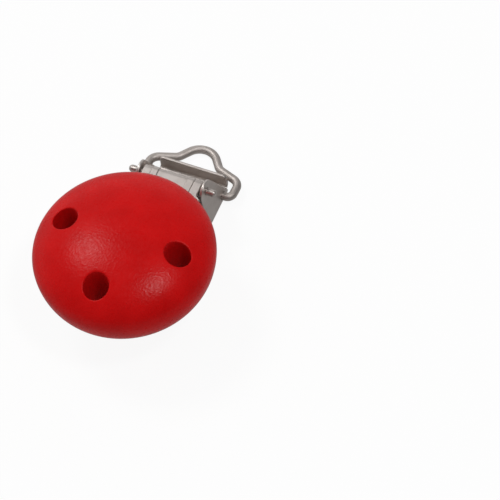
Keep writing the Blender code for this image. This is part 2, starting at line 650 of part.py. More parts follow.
def main():
    clear_scene()
    lacquer = finish_material("red_lacquered_wood", (0.45, 0.006, 0.007), 0.35, 0.0)
    nickel = finish_material("nickel_plated_steel", (0.60, 0.57, 0.54), 0.25, 1.0)
    spring_steel = finish_material("nickel_plated_spring_steel", (0.52, 0.50, 0.48), 0.3, 1.0)
    wire_nickel = finish_material("nickel_plated_wire", (0.58, 0.55, 0.53), 0.25, 1.0)
    nylon = finish_material("natural_nylon", (0.80, 0.79, 0.74), 0.45, 0.0)
    zinc = finish_material("zinc_plated_nail", (0.50, 0.50, 0.50), 0.35, 1.0)

    frame = add_joint_empty("frame", 0, 0)
    hinge = add_joint_empty("lever_hinge", 0, HINGE_HEIGHT)
    tongue_root = add_joint_empty("tongue_root", tail_end_y, tail_bottom)
    loop_axis = add_joint_empty("loop_axis", LOOP_SETBACK, loop_height)

    make_base(frame, nickel)
    make_pin(frame, nickel)
    make_lever(hinge, nickel)
    make_button(hinge, lacquer)
    make_nails(hinge, zinc)
    make_tongue(tongue_root, spring_steel)
    make_insert(tongue_root, nylon)
    make_loop(loop_axis, wire_nickel)


main()
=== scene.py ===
import json
import math

import bmesh
import bpy
from mathutils import Euler, Matrix, Vector


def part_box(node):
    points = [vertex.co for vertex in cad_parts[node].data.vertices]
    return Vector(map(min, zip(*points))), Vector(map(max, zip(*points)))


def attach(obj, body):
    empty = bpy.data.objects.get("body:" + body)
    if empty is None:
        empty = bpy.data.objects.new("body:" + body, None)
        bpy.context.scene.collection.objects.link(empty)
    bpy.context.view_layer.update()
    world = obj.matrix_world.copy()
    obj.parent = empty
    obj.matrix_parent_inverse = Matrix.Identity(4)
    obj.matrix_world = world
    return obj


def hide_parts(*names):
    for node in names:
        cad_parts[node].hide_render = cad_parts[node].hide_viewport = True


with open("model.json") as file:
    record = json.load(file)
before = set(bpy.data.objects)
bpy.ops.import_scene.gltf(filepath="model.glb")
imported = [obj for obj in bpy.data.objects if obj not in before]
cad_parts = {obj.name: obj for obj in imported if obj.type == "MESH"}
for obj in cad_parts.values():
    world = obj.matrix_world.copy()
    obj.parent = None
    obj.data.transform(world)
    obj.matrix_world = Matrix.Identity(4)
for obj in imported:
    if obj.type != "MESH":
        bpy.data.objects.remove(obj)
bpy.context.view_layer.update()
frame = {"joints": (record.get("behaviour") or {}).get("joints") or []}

# Places that the frame gives
JOINTS = {joint["name"]: Vector(joint["pos_m"]) for joint in frame["joints"]}
HINGE = JOINTS["lever_hinge"]
TAIL_END = JOINTS["tongue_flex"]
LOOP_AXIS = JOINTS["loop_swing"]
BUTTON_LOW, BUTTON_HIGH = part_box("wood_button")
LEVER_LOW, LEVER_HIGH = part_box("lever_plate")
PIN_LOW, PIN_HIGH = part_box("hinge_pin")
BASE_LOW, BASE_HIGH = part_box("base_plate")
TONGUE_LOW, TONGUE_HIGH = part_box("spring_tongue")
INSERT_LOW, INSERT_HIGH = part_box("jaw_insert")
_, LOOP_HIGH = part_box("wire_loop")

# Turned wooden button; all lengths are in metres
BUTTON_SKIRT = 0.0054
BUTTON_SKIRT_ROUND = 0.0036
BUTTON_CENTRE = BUTTON_LOW.lerp(BUTTON_HIGH, 0.5)
BUTTON_CENTRE.z = BUTTON_LOW.z + BUTTON_SKIRT  # where the dome meets the skirt
VENT_DIAMETER = 0.0041
VENT_CIRCLE_DIAMETER = 0.01915
VENT_QUARTERS = (2, 3, 4)  # quarter turns from +X
VENT_EDGE_ROUND = 0.00025
BUTTON_SEGMENTS = 128
DOME_RINGS = 45
SKIRT_RINGS = 14
BACK_RINGS = 6
VENT_INNER_RING = 13  # dome ring on the crown's side of the vents
VENT_OUTER_RING = 30  # dome ring on the rim's side of the vents
VENT_HALF_SEGMENTS = 7
VENT_LAND_RINGS = 5  # between the turned faces and a vent's mouth
VENT_EDGE_RINGS = 6

# Stamped sheet
SHEET = 0.0005
EDGE_ROUND = 0.00015  # stamped and barrelled edges
BEND_RADIUS = 0.0003
PIN_HOLE_RADIUS = 0.00068
WIRE_HOLE_RADIUS = 0.00078

# Lever plate, from the pin's axis
LEVER_DROP = 0.00055
LEVER_NECK_HALF = 0.0051
LEVER_NECK = 0.0020
LEVER_SHOULDER_LENGTH = 0.0006
LEVER_KINK = 0.0056
LEVER_STEP = 0.0037
LEVER_STEP_RADIUS = 0.0012
LEVER_OVER_PIN = 0.00098
LEVER_REAR_RADIUS = 0.00075
LEVER_REAR_DROP = 0.0004
LEVER_CORNER_RADIUS = 0.0030
LEVER_SIDE_GAP = 0.00036
LUG_RADIUS = 0.0013
LUG_INSET = 0.00005
CAM_DROP = 0.0029
CAM_RADIUS = 0.0006
CAM_CURL = math.radians(300)
CAM_STEP = math.radians(15)
RIB_SPACING = 0.0062
RIB_WIDTH = 0.00107
RIB_SIDE = 0.00012
RIB_HEIGHT = 0.00012
RIB_LEAD = 0.0005

# Base plate
SIDE_FRONT = 0.0024
SIDE_REAR = 0.0061
SIDE_LEAN = math.radians(3.5)
EAR_RADIUS = 0.0019
LIP_HEIGHT = 0.0026
LIP_TEETH = 8
LIP_TOOTH_DEPTH = 0.0007
FLANGE_HEIGHT = 0.0030
FLANGE_BEND_RADIUS = 0.0005
FLANGE_CORNER_RADIUS = 0.0008
FLANGE_HALF = 0.00598  # as wide as it looks in the photograph, a little past the floor
HOOK_SPACING = 0.0052
HOOK_WIDTH = 0.0016
HOOK_REACH = 0.0007
HOOK_GAP = 0.0002
HOOK_BEND_RADIUS = 0.0002
HOOK_WINDOW = 0.0019

# Spring tongue
TONGUE_SHEET = 0.0004
TONGUE_TAIL_LENGTH = 0.0019
TONGUE_RISER_ANGLE = math.radians(70)
TONGUE_BEND_RADIUS = 0.0008
TONGUE_LIP_HEIGHT = 0.00185
SEAT_GAP = 0.0001

# Gripping insert
INSERT_TEETH = 7
INSERT_TOOTH_DEPTH = 0.0005
INSERT_TOOTH_FLAT = 0.5  # share of a tooth that is flat
INSERT_EDGE_ROUND = 0.00018

# Nails
NAIL_SHANK_DIAMETER = 0.0012
NAIL_HEAD_HEIGHT = 0.0007
NAIL_TIP = 0.0012

# Wire loop
WIRE_DIAMETER = 0.0014  # as it looks in the photograph, inside the loop's own box
WIRE_END_X = 0.0056
LOOP_CORNER_RADIUS = 0.0010
LOOP_SHOULDER_RADIUS = 0.0017
LOOP_SHOULDER_FALL = 0.00145
ARCH_FOOT = 0.00484
ARCH_HEIGHT = 0.00298
ARCH_RADIUS = 0.00295
ARCH_FOOT_RADIUS = 0.0018
ARCH_SIDE_ANGLE = math.radians(54)
WIRE_RESOLUTION = 8
TABLE_GAP = 0.00005

# Fineness
FINE_STEP = math.radians(7.5)
STEP_SLACK = 1e-6  # keeps a rounding error from adding a step
ROD_SEGMENTS = 48
NAIL_SEGMENTS = 32
SHARP_ANGLE = math.radians(35)  # folds above this are shaded as edges
SHEET_EDGE_ANGLE = math.radians(60)  # edges above this are rounded on stamped sheet
EDGE_SEGMENTS = 3
SAME_PLACE = 1e-6

# Surface patterns: the width of their features, and their depth
LACQUER_CLOUD = 0.004
LACQUER_HAZE = 0.0007
PEEL_DIMPLE = 0.00036
PEEL_DEPTH = 0.00005
MAPLE_GRAIN = 0.0006  # drawn coarser than the wood's pores, which are too fine to show
MAPLE_STRETCH = (0.12, 1.0, 1.0)  # the grain runs along X
END_GRAIN = 0.0005  # drawn coarser too
WOOD_DEPTH = 0.00005
HANDLING_CLOUD = 0.0022
ROLLING_LINE = 0.0005  # drawn coarser than real ones, which are near 0.05 mm and too fine to show
ROLLING_DEPTH = 0.00001
ROLLED = (1.0, 0.15, 1.0)  # the lines of sheet run along Y
DRAWN = (1.0, 1.0, 1.0)  # wire has no lines that run one way
NYLON_CLOUD = 0.003
MOULD_GRAIN = 0.00018  # drawn coarser than a real mould's, which is near 0.03 mm and too fine to show
MOULD_DEPTH = 0.00002
NOISE_LOW, NOISE_HIGH = 0.3, 0.7  # most of a noise texture lies between these

# Roughness
LACQUER_GLOSS = 0.25
LACQUER_HAZED = 0.36
SHEET_ROUGHNESS = 0.40
WIRE_ROUGHNESS = 0.50
SPRING_ROUGHNESS = 0.44
ZINC_ROUGHNESS = 0.42
ROLLING_DULLNESS = 0.1  # what the rolling lines add

# Camera, fitted to the photograph's 500 x 500 frame
CAMERA_FROM_BUTTON = Vector((0.14054, -0.21164, 0.39464))
CAMERA_TURN = (32.181, 4.128, 22.653)
CAMERA_LENS = 216.0
CAMERA_SENSOR = 36.0
CAMERA_CLIP = 0.01

# Studio
FLOOR_SIZE = 1.6
FLOOR_LIFT = 0.92  # share of the table's white that doesn't depend on the light
MIRRORED_LIFT = 0.9  # the same, where metal or lacquer mirrors the table
MIRRORED_WHITE = 0.38  # and how light it is there
LAMP_DISTANCE = 0.7
KEY_DIRECTION = (-0.50, 0.17, 0.85)
KEY_SIZE = 0.22
KEY_WATTS = 1.7
FILL_DIRECTION = (0.41, -0.03, 0.91)
FILL_SIZE = 0.12
FILL_WATTS = 1.6
SWEEP_DIRECTION = (-0.75, 0.66, 0.0)
SWEEP_TURNS = (0.0, 0.8)  # facing the sweep: where a reflection starts to see it, and sees it white
SWEEP_HEIGHTS = (0.05, 0.95)  # where the sweep starts to darken upwards, and is as dark as the room
SKY_LEVEL = 0.41
SKY_SLANT = 0.26  # how much lighter the sky is towards the sweep
DARK_ROOM = 0.09


def srgb(code):
    """The linear colour of an sRGB hex value."""
    parts = [int(code[i:i + 2], 16) / 255 for i in (1, 3, 5)]
    linear = [p / 12.92 if p <= 0.04045 else ((p + 0.055) / 1.055) ** 2.4 for p in parts]
    return (*linear, 1.0)


def add_node(tree, kind, inputs=None, stops=(), **settings):
    """Adds a node; inputs gives its sockets values or other nodes' outputs, stops a ramp's colours."""
    made = tree.nodes.new(kind)
    for name, value in settings.items():
        setattr(made, name, value)
    for i, (position, code) in enumerate(stops):
        made.color_ramp.elements[i].position = position
        made.color_ramp.elements[i].color = srgb(code)
    for socket, value in (inputs or {}).items():
        if isinstance(value, bpy.types.NodeSocket):
            tree.links.new(value, made.inputs[socket])
        else:
            made.inputs[socket].default_value = value
    return made


def new_material(name):
    material = bpy.data.materials.new(name)
    material.use_nodes = True
    tree = material.node_tree
    place = add_node(tree, "ShaderNodeTexCoord").outputs["Object"]
    return material, tree, tree.nodes["Principled BSDF"], place


def per_size(size):
    """The texture scale that makes a pattern's features about this many metres wide."""
    return 1.0 / size


def satin_red_lacquer():
    """Opaque lacquer, dipped over turned maple: deep red, a satin gloss broken by a fine orange peel."""
    material, tree, shader, place = new_material("satin_red_lacquer_on_maple")
    cloud = add_node(
        tree, "ShaderNodeTexNoise", {"Vector": place, "Scale": per_size(LACQUER_CLOUD), "Detail": 3.0}
    )
    tint = add_node(
        tree,
        "ShaderNodeValToRGB",
        {"Fac": cloud.outputs["Fac"]},
        stops=((0.35, "#BA0A0B"), (0.68, "#C40D0E")),
    )
    tree.links.new(tint.outputs["Color"], shader.inputs["Base Color"])

    # The wood's grain telegraphs through the film, under the peel's dimples
    stretched = add_node(tree, "ShaderNodeMapping", {"Vector": place, "Scale": MAPLE_STRETCH})
    grain = add_node(
        tree,
        "ShaderNodeTexNoise",
        {"Vector": stretched.outputs["Vector"], "Scale": per_size(MAPLE_GRAIN), "Detail": 4.0},
    )
    peel = add_node(
        tree,
        "ShaderNodeTexVoronoi",
        {"Vector": place, "Scale": per_size(PEEL_DIMPLE), "Smoothness": 0.5},
        feature="SMOOTH_F1",
    )
    dimple = add_node(tree, "ShaderNodeMath", {0: peel.outputs["Distance"], 1: 2.0}, operation="POWER")
    haze = add_node(
        tree, "ShaderNodeTexNoise", {"Vector": place, "Scale": per_size(LACQUER_HAZE), "Detail": 2.0}
    )
    dull = add_node(
        tree,
        "ShaderNodeMapRange",
        {
            "Value": haze.outputs["Fac"],
            "From Min": NOISE_LOW,
            "From Max": NOISE_HIGH,
            "To Min": LACQUER_GLOSS,
            "To Max": LACQUER_HAZED,
        },
    )
    tree.links.new(dull.outputs["Result"], shader.inputs["Roughness"])
    rough = add_node(
        tree, "ShaderNodeBump", {"Height": grain.outputs["Fac"], "Strength": 0.10, "Distance": WOOD_DEPTH}
    )
    bump = add_node(
        tree,
        "ShaderNodeBump",
        {
            "Height": dimple.outputs["Value"],
            "Strength": 0.45,
            "Distance": PEEL_DEPTH,
            "Normal": rough.outputs["Normal"],
        },
    )
    tree.links.new(bump.outputs["Normal"], shader.inputs["Normal"])
    shader.inputs["IOR"].default_value = 1.5
    shader.inputs["Specular IOR Level"].default_value = 0.1
    return material


def lacquer_in_bores():
    """The same lacquer on the end grain inside the vents: soaked in, so it is dull."""
    material, tree, shader, place = new_material("soaked_red_lacquer_on_end_grain")
    fibre = add_node(
        tree, "ShaderNodeTexNoise", {"Vector": place, "Scale": per_size(END_GRAIN), "Detail": 4.0}
    )
    tint = add_node(
        tree,
        "ShaderNodeValToRGB",
        {"Fac": fibre.outputs["Fac"]},
        stops=((NOISE_LOW, "#BE080A"), (NOISE_HIGH, "#CE0A0C")),
    )
    tree.links.new(tint.outputs["Color"], shader.inputs["Base Color"])
    bump = add_node(
        tree, "ShaderNodeBump", {"Height": fibre.outputs["Fac"], "Strength": 0.4, "Distance": WOOD_DEPTH}
    )
    tree.links.new(bump.outputs["Normal"], shader.inputs["Normal"])
    shader.inputs["Roughness"].default_value = 0.8
    shader.inputs["Specular IOR Level"].default_value = 0.1
    return material


def plated_steel(name, light, dark, roughness, stretch):
    """Nickel or zinc plate over steel: satin grey, clouded by handling and by the metal's rolling lines."""
    material, tree, shader, place = new_material(name)
    cloud = add_node(
        tree, "ShaderNodeTexNoise", {"Vector": place, "Scale": per_size(HANDLING_CLOUD), "Detail": 4.0}
    )
    tint = add_node(
        tree, "ShaderNodeValToRGB", {"Fac": cloud.outputs["Fac"]}, stops=((0.3, dark), (0.65, light))
    )
    tree.links.new(tint.outputs["Color"], shader.inputs["Base Color"])
    stretched = add_node(tree, "ShaderNodeMapping", {"Vector": place, "Scale": stretch})
    lines = add_node(
        tree,
        "ShaderNodeTexNoise",
        {"Vector": stretched.outputs["Vector"], "Scale": per_size(ROLLING_LINE), "Detail": 3.0},
    )
    dull = add_node(
        tree,
        "ShaderNodeMapRange",
        {
            "Value": lines.outputs["Fac"],
            "From Min": NOISE_LOW,
            "From Max": NOISE_HIGH,
            "To Min": roughness,
            "To Max": roughness + ROLLING_DULLNESS,
        },
    )
    tree.links.new(dull.outputs["Result"], shader.inputs["Roughness"])
    bump = add_node(
        tree,
        "ShaderNodeBump",
        {"Height": lines.outputs["Fac"], "Strength": 0.05, "Distance": ROLLING_DEPTH},
    )
    tree.links.new(bump.outputs["Normal"], shader.inputs["Normal"])
    shader.inputs["Metallic"].default_value = 1.0
    return material


def natural_nylon():
    """Moulded nylon: milky, a little translucent, with the fine spark-eroded grain of its mould."""
    material, tree, shader, place = new_material("moulded_natural_nylon")
    cloud = add_node(
        tree, "ShaderNodeTexNoise", {"Vector": place, "Scale": per_size(NYLON_CLOUD), "Detail": 2.0}
    )
    tint = add_node(
        tree,
        "ShaderNodeValToRGB",
        {"Fac": cloud.outputs["Fac"]},
        stops=((0.0, "#DAD6C9"), (1.0, "#E8E5DA")),
    )
    tree.links.new(tint.outputs["Color"], shader.inputs["Base Color"])
    grit = add_node(
        tree, "ShaderNodeTexNoise", {"Vector": place, "Scale": per_size(MOULD_GRAIN), "Detail": 2.0}
    )
    bump = add_node(
        tree, "ShaderNodeBump", {"Height": grit.outputs["Fac"], "Strength": 0.25, "Distance": MOULD_DEPTH}
    )
    tree.links.new(bump.outputs["Normal"], shader.inputs["Normal"])
    shader.inputs["Roughness"].default_value = 0.45
    shader.inputs["IOR"].default_value = 1.53
    shader.inputs["Subsurface Weight"].default_value = 0.15
    shader.inputs["Subsurface Radius"].default_value = (0.0006, 0.0006, 0.0005)
    shader.inputs["Subsurface Scale"].default_value = 1.0
    return material


def near(a, b):
    return abs(a - b) < SAME_PLACE


def arc(centre, radius, start, end, step=FINE_STEP):
    """Points of an arc, both ends included."""
    steps = max(2, math.ceil(abs(end - start) / step - STEP_SLACK))
    angles = [start + (end - start) * i / steps for i in range(steps + 1)]
    return [(centre[0] + radius * math.cos(a), centre[1] + radius * math.sin(a)) for a in angles]


def rounded_path(corners):
    """A path through (u, v, radius) corners, each of them rounded to its radius."""
    points = [Vector(corners[0][:2])]
    for before, corner, after in zip(corners, corners[1:], corners[2:]):
        here = Vector(corner[:2])
        back = (Vector(before[:2]) - here).normalized()
        onward = (Vector(after[:2]) - here).normalized()
        half_angle = back.angle(onward) / 2
        reach = corner[2] / math.tan(half_angle)
        centre = here + (back + onward).normalized() * (corner[2] / math.sin(half_angle))
        first = here + back * reach - centre
        last = here + onward * reach - centre
        start = math.atan2(first.y, first.x)
        turn = math.remainder(math.atan2(last.y, last.x) - start, math.tau)
        points += [Vector(p) for p in arc(centre, corner[2], start, start + turn)]
    points.append(Vector(corners[-1][:2]))
    return points


def add_object(name, data):
    made = bpy.data.objects.new(name, data)
    bpy.context.scene.collection.objects.link(made)
    return made


def add_mesh(name, bm):
    mesh = bpy.data.meshes.new(name)
    bm.to_mesh(mesh)
    bm.free()
    return add_object(name, mesh)


def add_piece(name, bm, material):
    piece = add_mesh(name, bm)
    piece.data.materials.append(material)
    piece.data.shade_smooth()
    return piece


def stands_for(piece, node, body):
    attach(piece, body)
    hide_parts(node)


def make_modifiers_real(piece):
    graph = bpy.context.evaluated_depsgraph_get()
    mesh = bpy.data.meshes.new_from_object(piece.evaluated_get(graph))
    plain = piece.data
    piece.modifiers.clear()
    piece.data = mesh
    bpy.data.meshes.remove(plain)
    mesh.name = piece.name


def round_edges(piece, width, angle):
    """Rounds the edges that fold by more than an angle."""
    bevel = piece.modifiers.new("edges", "BEVEL")
    bevel.width = width
    bevel.segments = EDGE_SEGMENTS
    bevel.limit_method = "ANGLE"
    bevel.angle_limit = angle
    bevel.use_clamp_overlap = False  # a fold line that runs on from an edge would clamp it to nothing


def settle_faces(piece):
    """Makes the modifiers real, then shades flat faces flat and rounds smooth."""
    make_modifiers_real(piece)
    piece.data.set_sharp_from_angle(angle=SHARP_ANGLE)
    weighted = piece.modifiers.new("flat faces", "WEIGHTED_NORMAL")
    weighted.keep_sharp = True
    make_modifiers_real(piece)


def add_tool(name, bm, edge_round=0.0):
    """A solid that only cuts or joins a piece, and is gone once that is done."""
    bmesh.ops.recalc_face_normals(bm, faces=bm.faces)
    if edge_round:
        sharp = [edge for edge in bm.edges if edge.calc_face_angle() > SHEET_EDGE_ANGLE]
        bmesh.ops.bevel(
            bm,
            geom=sharp,
            offset=edge_round,
            affect="EDGES",
            segments=EDGE_SEGMENTS,
            profile=0.5,
            material=-1,
            clamp_overlap=True,
        )
    return add_mesh(name, bm)


def combine(piece, tool, operation):
    change = piece.modifiers.new(tool.name, "BOOLEAN")
    change.object = tool
    change.operation = operation


def finish_sheet(piece, thickness, joined=(), cut=()):
    """Gives a bent sheet its thickness, rounds its stamped edges, and joins and cuts what it needs."""
    solidify = piece.modifiers.new("thickness", "SOLIDIFY")
    solidify.thickness = thickness
    solidify.offset = 0.0
    solidify.use_even_offset = True
    round_edges(piece, EDGE_ROUND, SHEET_EDGE_ANGLE)
    for tool in joined:
        combine(piece, tool, "UNION")
    for tool in cut:
        combine(piece, tool, "DIFFERENCE")
    settle_faces(piece)
    for tool in (*joined, *cut):
        bpy.data.meshes.remove(tool.data)


def turned(profile, steps):
    """A solid turned about Z from a (radius, z) profile that starts and ends on the axis."""
    bm = bmesh.new()
    verts = [bm.verts.new((radius, 0, z)) for radius, z in profile]
    edges = [bm.edges.new(pair) for pair in zip(verts, verts[1:])]
    bmesh.ops.spin(
        bm,
        geom=verts + edges,
        cent=(0, 0, 0),
        axis=(0, 0, 1),
        angle=math.tau,
        steps=steps,
        use_merge=True,
    )
    bmesh.ops.remove_doubles(bm, verts=bm.verts, dist=SAME_PLACE)
    bmesh.ops.recalc_face_normals(bm, faces=bm.faces)
    return bm


def strip(path, stations, place):
    """A sheet along a path, with points across at each station; place puts each of them in space."""
    bm = bmesh.new()
    across, along = len(stations) - 1, len(path) - 1
    bmesh.ops.create_grid(bm, x_segments=across, y_segments=along, size=1.0)
    for vert in bm.verts:
        i = round((vert.co.x + 1) / 2 * across)
        j = round((vert.co.y + 1) / 2 * along)
        vert.co = place(j, stations[i])
    return bm


def next_ring(bm, edges, place):
    """Carries a loop of edges on to a new ring, each point of it where place says."""
    made = bmesh.ops.extrude_edge_only(bm, edges=edges)["geom"]
    for vert in made:
        if isinstance(vert, bmesh.types.BMVert):
            vert.co = place(vert.co)
    return [edge for edge in made if isinstance(edge, bmesh.types.BMEdge)]


def add_plate(bm, outline, along):
    """A solid plate: an outline, carried along a vector."""
    face = bm.faces.new([bm.verts.new(corner) for corner in outline])
    far = bmesh.ops.extrude_face_region(bm, geom=[face])["geom"]
    far_verts = [g for g in far if isinstance(g, bmesh.types.BMVert)]
    bmesh.ops.translate(bm, verts=far_verts, vec=along)


def add_box(bm, low, high):
    size = Vector(high) - Vector(low)
    middle = Matrix.Translation((Vector(high) + Vector(low)) / 2)
    bmesh.ops.create_cube(bm, size=1.0, matrix=middle @ Matrix.Diagonal((*size, 1.0)))


def add_rod(bm, radius, middle, half_length):
    """A rod along X."""
    bmesh.ops.create_cone(
        bm,
        cap_ends=True,
        segments=ROD_SEGMENTS,
        radius1=radius,
        radius2=radius,
        depth=2 * half_length,
        matrix=Matrix.Translation(middle) @ Matrix.Rotation(math.pi / 2, 4, "Y"),
    )


def make_button(material, bore_material):
    """The turned button: an elliptic dome and skirt, a flat back, and three vents with softened mouths."""
    radius = (BUTTON_HIGH.x - BUTTON_LOW.x) / 2
    dome = BUTTON_HIGH.z - BUTTON_LOW.z - BUTTON_SKIRT
    back = radius - BUTTON_SKIRT_ROUND
    vent = VENT_DIAMETER / 2
    mouth = vent + VENT_EDGE_ROUND

    def top_at(r):
        return dome * math.sqrt(max(0.0, 1 - (r / radius) ** 2))

    def back_at(r):
        return -BUTTON_SKIRT * math.sqrt(max(0.0, 1 - (max(0.0, r - back) / BUTTON_SKIRT_ROUND) ** 2))

    quarter = math.pi / 2
    crown = [quarter * i / DOME_RINGS for i in range(DOME_RINGS + 1)]
    upper = [(radius * math.sin(a), dome * math.cos(a)) for a in crown]
    inner, outer = upper[VENT_INNER_RING][0], upper[VENT_OUTER_RING][0]
    lower_rings = [r for r, _ in upper[VENT_INNER_RING:VENT_OUTER_RING + 1]]
    skirt_turns = [quarter * i / SKIRT_RINGS for i in range(1, SKIRT_RINGS)]
    skirt_rim = [outer + (radius - outer) * math.sin(a) for a in skirt_turns]
    lower = [(r, back_at(r)) for r in reversed(lower_rings + skirt_rim)]
    middle = [(inner * i / BACK_RINGS, -BUTTON_SKIRT) for i in reversed(range(BACK_RINGS))]
    bm = turned(upper + lower + middle, BUTTON_SEGMENTS)

    half_window = math.tau * VENT_HALF_SEGMENTS / BUTTON_SEGMENTS
    for quarters in VENT_QUARTERS:
        turn = quarters * quarter
        axis = Vector((math.cos(turn), math.sin(turn))) * VENT_CIRCLE_DIAMETER / 2
        rims = []
        for surface, upwards in ((top_at, 1), (back_at, -1)):
            window = []
            for face in bm.faces:
                spot = face.calc_center_median()
                off = math.remainder(math.atan2(spot.y, spot.x) - turn, math.tau)
                if spot.z * upwards > 0 and abs(off) < half_window and inner < spot.xy.length < outer:
                    window.append(face)
            bmesh.ops.delete(bm, geom=window, context="FACES")
            kept = {edge for done in rims for edge in done}
            rim = [edge for edge in bm.edges if edge.is_boundary and edge not in kept]

            def on_surface(point, reach, drop):
                spot = axis + (point.xy - axis).normalized() * reach
                return Vector((*spot, surface(spot.length) - upwards * drop))

            for left in range(VENT_LAND_RINGS, 0, -1):
                share = (left - 1) / left
                rim = next_ring(
                    bm,
                    rim,
                    lambda p: on_surface(p, mouth + ((p.xy - axis).length - mouth) * share, 0.0),
                )
            for step in range(1, VENT_EDGE_RINGS + 1):
                a = quarter * step / VENT_EDGE_RINGS
                reach = mouth - VENT_EDGE_ROUND * math.sin(a)
                drop = VENT_EDGE_ROUND * (1 - math.cos(a))
                rim = next_ring(bm, rim, lambda p: on_surface(p, reach, drop))
            rims.append(rim)
        bore = bmesh.ops.bridge_loops(bm, edges=rims[0] + rims[1])
        for face in bore["faces"]:
            face.material_index = 1
    bmesh.ops.recalc_face_normals(bm, faces=bm.faces)
    bmesh.ops.translate(bm, verts=bm.verts, vec=BUTTON_CENTRE)
    piece = add_piece("lacquered_button", bm, material)
    piece.data.materials.append(bore_material)
    stands_for(piece, "wood_button", "lever")


def make_lever(material):
    """The stamped lever: rounded nose, a ribbed step up over the pin, two lugs and the rolled cam edge."""
    half = (LEVER_HIGH.x - LEVER_LOW.x) / 2
    nose_y = LEVER_LOW.y - HINGE.y
    plate = -LEVER_DROP
    room = LEVER_OVER_PIN
    curl = CAM_RADIUS - SHEET / 2
    to_wall = Vector((room, CAM_DROP - LEVER_REAR_DROP))
    curl_start = math.atan2(to_wall.y, to_wall.x) - math.acos(curl / to_wall.length)
    cam = arc((0, -CAM_DROP), curl, curl_start, curl_start - CAM_CURL, CAM_STEP)
    corner = (nose_y + LEVER_CORNER_RADIUS, half - LEVER_CORNER_RADIUS)
    nose = arc(corner, LEVER_CORNER_RADIUS, math.pi, math.pi / 2)
    step = rounded_path(
        [
            (-LEVER_KINK - RIB_LEAD, plate, 0),
            (-LEVER_KINK, plate, LEVER_STEP_RADIUS),
            (-LEVER_STEP, room, LEVER_STEP_RADIUS),
            (-LEVER_NECK - LEVER_SHOULDER_LENGTH, room, 0),
        ]
    )
    bend = rounded_path([(-LEVER_NECK, room, 0), (room, room, LEVER_REAR_RADIUS), (room, 0, 0)])
    wall = rounded_path([(room, 0, 0), (room, -LEVER_REAR_DROP, LEVER_REAR_RADIUS), (*cam[0], 0)])[1:-1]
    path = [Vector((y, plate)) for y, _ in nose] + step + bend + wall + [Vector(p) for p in cam]
    widths = [w for _, w in nose] + [half] * len(step)
    widths += [LEVER_NECK_HALF] * (len(path) - len(widths))
    ribbed = range(len(nose) + 1, len(nose) + len(step) + len(bend) - 1)

    stations = [0.0]
    for side in (-1, 1):
        for edge in (-1, 1):
            foot = side * RIB_SPACING / 2 + edge * RIB_WIDTH / 2
            stations += [foot, foot - edge * RIB_SIDE]
    stations = sorted(stations + [-half, half])

    def in_rib(x):
        return abs(abs(x) - RIB_SPACING / 2) < RIB_WIDTH / 2 - RIB_SIDE / 2

    def place(j, x):
        along = (path[min(j + 1, len(path) - 1)] - path[max(j - 1, 0)]).normalized()
        lift = RIB_HEIGHT if in_rib(x) and j in ribbed else 0.0
        spot = path[j] + Vector((-along.y, along.x)) * lift
        reach = widths[j]
        across = math.copysign(reach, x) if abs(x) == half else x * min(1.0, reach / LEVER_NECK_HALF)
        return Vector((across, HINGE.y + spot.x, HINGE.z + spot.y))

    bm = strip(path, stations, place)
    bmesh.ops.recalc_face_normals(bm, faces=bm.faces)
    piece = add_piece("stepped_lever", bm, material)

    lug = arc((0, 0), LUG_RADIUS, math.pi, math.tau - math.acos(room / LUG_RADIUS))
    rear_bend = room - LEVER_REAR_RADIUS
    lug += arc((rear_bend, rear_bend), LEVER_REAR_RADIUS, 0, math.pi / 2)
    lug.append((-LUG_RADIUS, room))
    lugs = bmesh.new()
    for side in (-1, 1):
        face = side * (LEVER_NECK_HALF - LUG_INSET)
        add_plate(lugs, [(face, HINGE.y + y, HINGE.z + z) for y, z in lug], (-side * SHEET, 0, 0))
    hole = bmesh.new()
    add_rod(hole, PIN_HOLE_RADIUS, HINGE, half + SHEET)
    joined = [add_tool("pin_lugs", lugs, EDGE_ROUND)]
    cut = [add_tool("lug_holes", hole)]
    finish_sheet(piece, SHEET, joined, cut)
    stands_for(piece, "lever_plate", "lever")


def make_nails(material):
    """Round-headed nails, driven up through the lever into the wood."""
    for node in ("nail_front", "nail_rear"):
        low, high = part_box(node)
        head = (high.x - low.x) / 2
        shank = NAIL_SHANK_DIAMETER / 2
        head_top = low.z + NAIL_HEAD_HEIGHT
        bulge = arc((0, 0), 1, -math.pi / 2, 0)
        profile = [(head * u, head_top + NAIL_HEAD_HEIGHT * v) for u, v in bulge]
        profile[0] = (0.0, low.z)
        profile += [(shank, head_top), (shank, high.z - NAIL_TIP), (0.0, high.z)]
        bm = turned(profile, NAIL_SEGMENTS)
        bmesh.ops.translate(bm, verts=bm.verts, vec=((low.x + high.x) / 2, (low.y + high.y) / 2, 0))
        piece = add_piece(node.replace("nail", "driven_nail"), bm, material)
        piece.data.set_sharp_from_angle(angle=SHARP_ANGLE)
        stands_for(piece, node, "lever")


def make_pin(material):
    """The hinge pin: drawn wire, with its two ends peened round."""
    radius = (PIN_HIGH.z - PIN_LOW.z) / 2
    reach = (PIN_HIGH.x - PIN_LOW.x) / 2
    end = arc((0, reach - radius), radius, math.pi / 2, 0)
    profile = [(0.0, end[0][1])] + end[1:]
    profile += [(r, -z) for r, z in reversed(profile)]
    bm = turned(profile, ROD_SEGMENTS)
    place = Matrix.Translation(HINGE) @ Matrix.Rotation(math.pi / 2, 4, "Y")
    bmesh.ops.transform(bm, verts=bm.verts, matrix=place)
    piece = add_piece("peened_pin", bm, material)
    stands_for(piece, "hinge_pin", "base")


